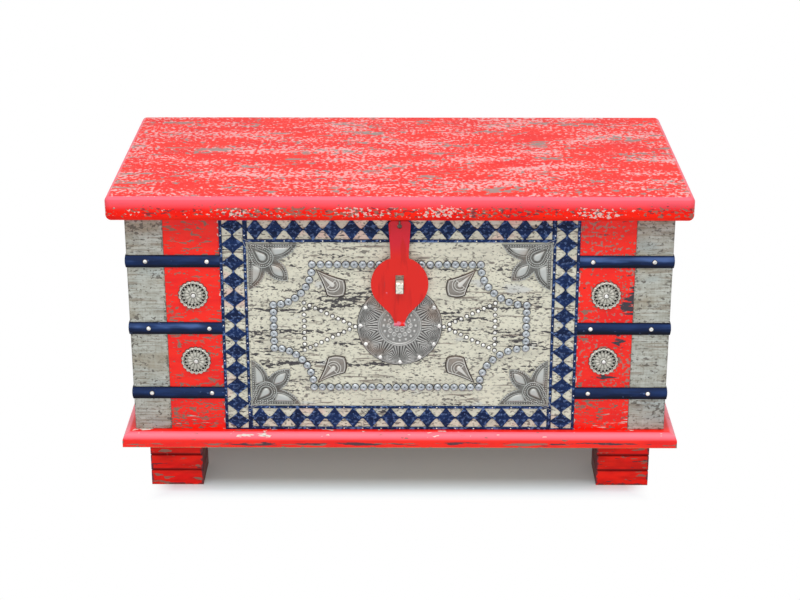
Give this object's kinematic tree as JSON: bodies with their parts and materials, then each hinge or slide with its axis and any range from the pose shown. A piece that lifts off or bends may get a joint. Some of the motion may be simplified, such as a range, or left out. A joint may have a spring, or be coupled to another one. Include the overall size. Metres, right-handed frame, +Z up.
{
  "type": "storage chest",
  "caption": "Low painted wooden storage chest with a hinged slab lid, a swinging hasp over a staple, block feet and nailed metal ornament on the front.",
  "frame": {"origin": "on the floor, under the middle of the chest", "axes": "+X to the right seen from the front, +Y to the back, +Z up"},
  "size_m": [0.8, 0.4, 0.45],
  "materials": {
    "red_paint": "worn red paint on wood",
    "cream_paint": "worn cream paint on wood",
    "grey_wash": "grey washed wood",
    "bare_wood": "unpainted wood",
    "blue_metal": "worn dark blue paint",
    "silver_metal": "antique pressed metal",
    "nail_metal": "antique metal heads",
    "red_metal": "worn red paint",
    "pale_metal": "pale painted metal",
    "hinge_steel": "dull plated steel"
  },
  "bodies": {
    "chest": {"arrow_pins": "nail_metal", "back_left_foot": "red_paint", "back_left_post": "grey_wash", "back_panel": "red_paint", "back_right_foot": "red_paint", "back_right_post": "grey_wash", "bead_tacks": "nail_metal", "border_bottom_strip": "blue_metal", "border_left_strip": "blue_metal", "border_right_strip": "blue_metal", "border_top_strip": "blue_metal", "bottom_board": "bare_wood", "foot_screws": "hinge_steel", "front_centre_panel": "cream_paint", "front_left_board": "red_paint", "front_left_foot": "red_paint", "front_left_post": "grey_wash", "front_right_board": "red_paint", "front_right_foot": "red_paint", "front_right_post": "grey_wash", "hasp_staple": "pale_metal", "hinge_back_screws": "hinge_steel", "hinge_left_back_leaf": "hinge_steel", "hinge_left_pin": "hinge_steel", "hinge_right_back_leaf": "hinge_steel", "hinge_right_pin": "hinge_steel", "left_end_panel": "red_paint", "lower_left_corner_plate": "silver_metal", "lower_left_leaf": "silver_metal", "lower_left_rosette": "silver_metal", "lower_left_strap": "blue_metal", "lower_right_corner_plate": "silver_metal", "lower_right_leaf": "silver_metal", "lower_right_rosette": "silver_metal", "lower_right_strap": "blue_metal", "medallion": "silver_metal", "middle_left_strap": "blue_metal", "middle_right_strap": "blue_metal", "plinth_back_rail": "red_paint", "plinth_front_rail": "red_paint", "plinth_left_rail": "red_paint", "plinth_right_rail": "red_paint", "right_end_panel": "red_paint", "round_head_nails": "nail_metal", "upper_left_corner_plate": "silver_metal", "upper_left_leaf": "silver_metal", "upper_left_rosette": "silver_metal", "upper_left_strap": "blue_metal", "upper_right_corner_plate": "silver_metal", "upper_right_leaf": "silver_metal", "upper_right_rosette": "silver_metal", "upper_right_strap": "blue_metal"},
    "lid": {"hasp_eye": "hinge_steel", "hinge_left_lid_leaf": "hinge_steel", "hinge_lid_screws": "hinge_steel", "hinge_right_lid_leaf": "hinge_steel", "lid_board": "red_paint"},
    "hasp": {"hasp": "red_metal"}
  },
  "joints": [
    {"name": "lid_hinge", "type": "hinge", "parent": "chest", "child": "lid", "pos_m": [0, 0.1819, 0.4125], "axis": [-1, 0, 0], "range_deg": [0, 100]},
    {"name": "hasp_swing", "type": "hinge", "parent": "lid", "child": "hasp", "pos_m": [0, -0.18475, 0.40942], "axis": [-1, 0, 0], "range_deg": [0, 105]}
  ]
}
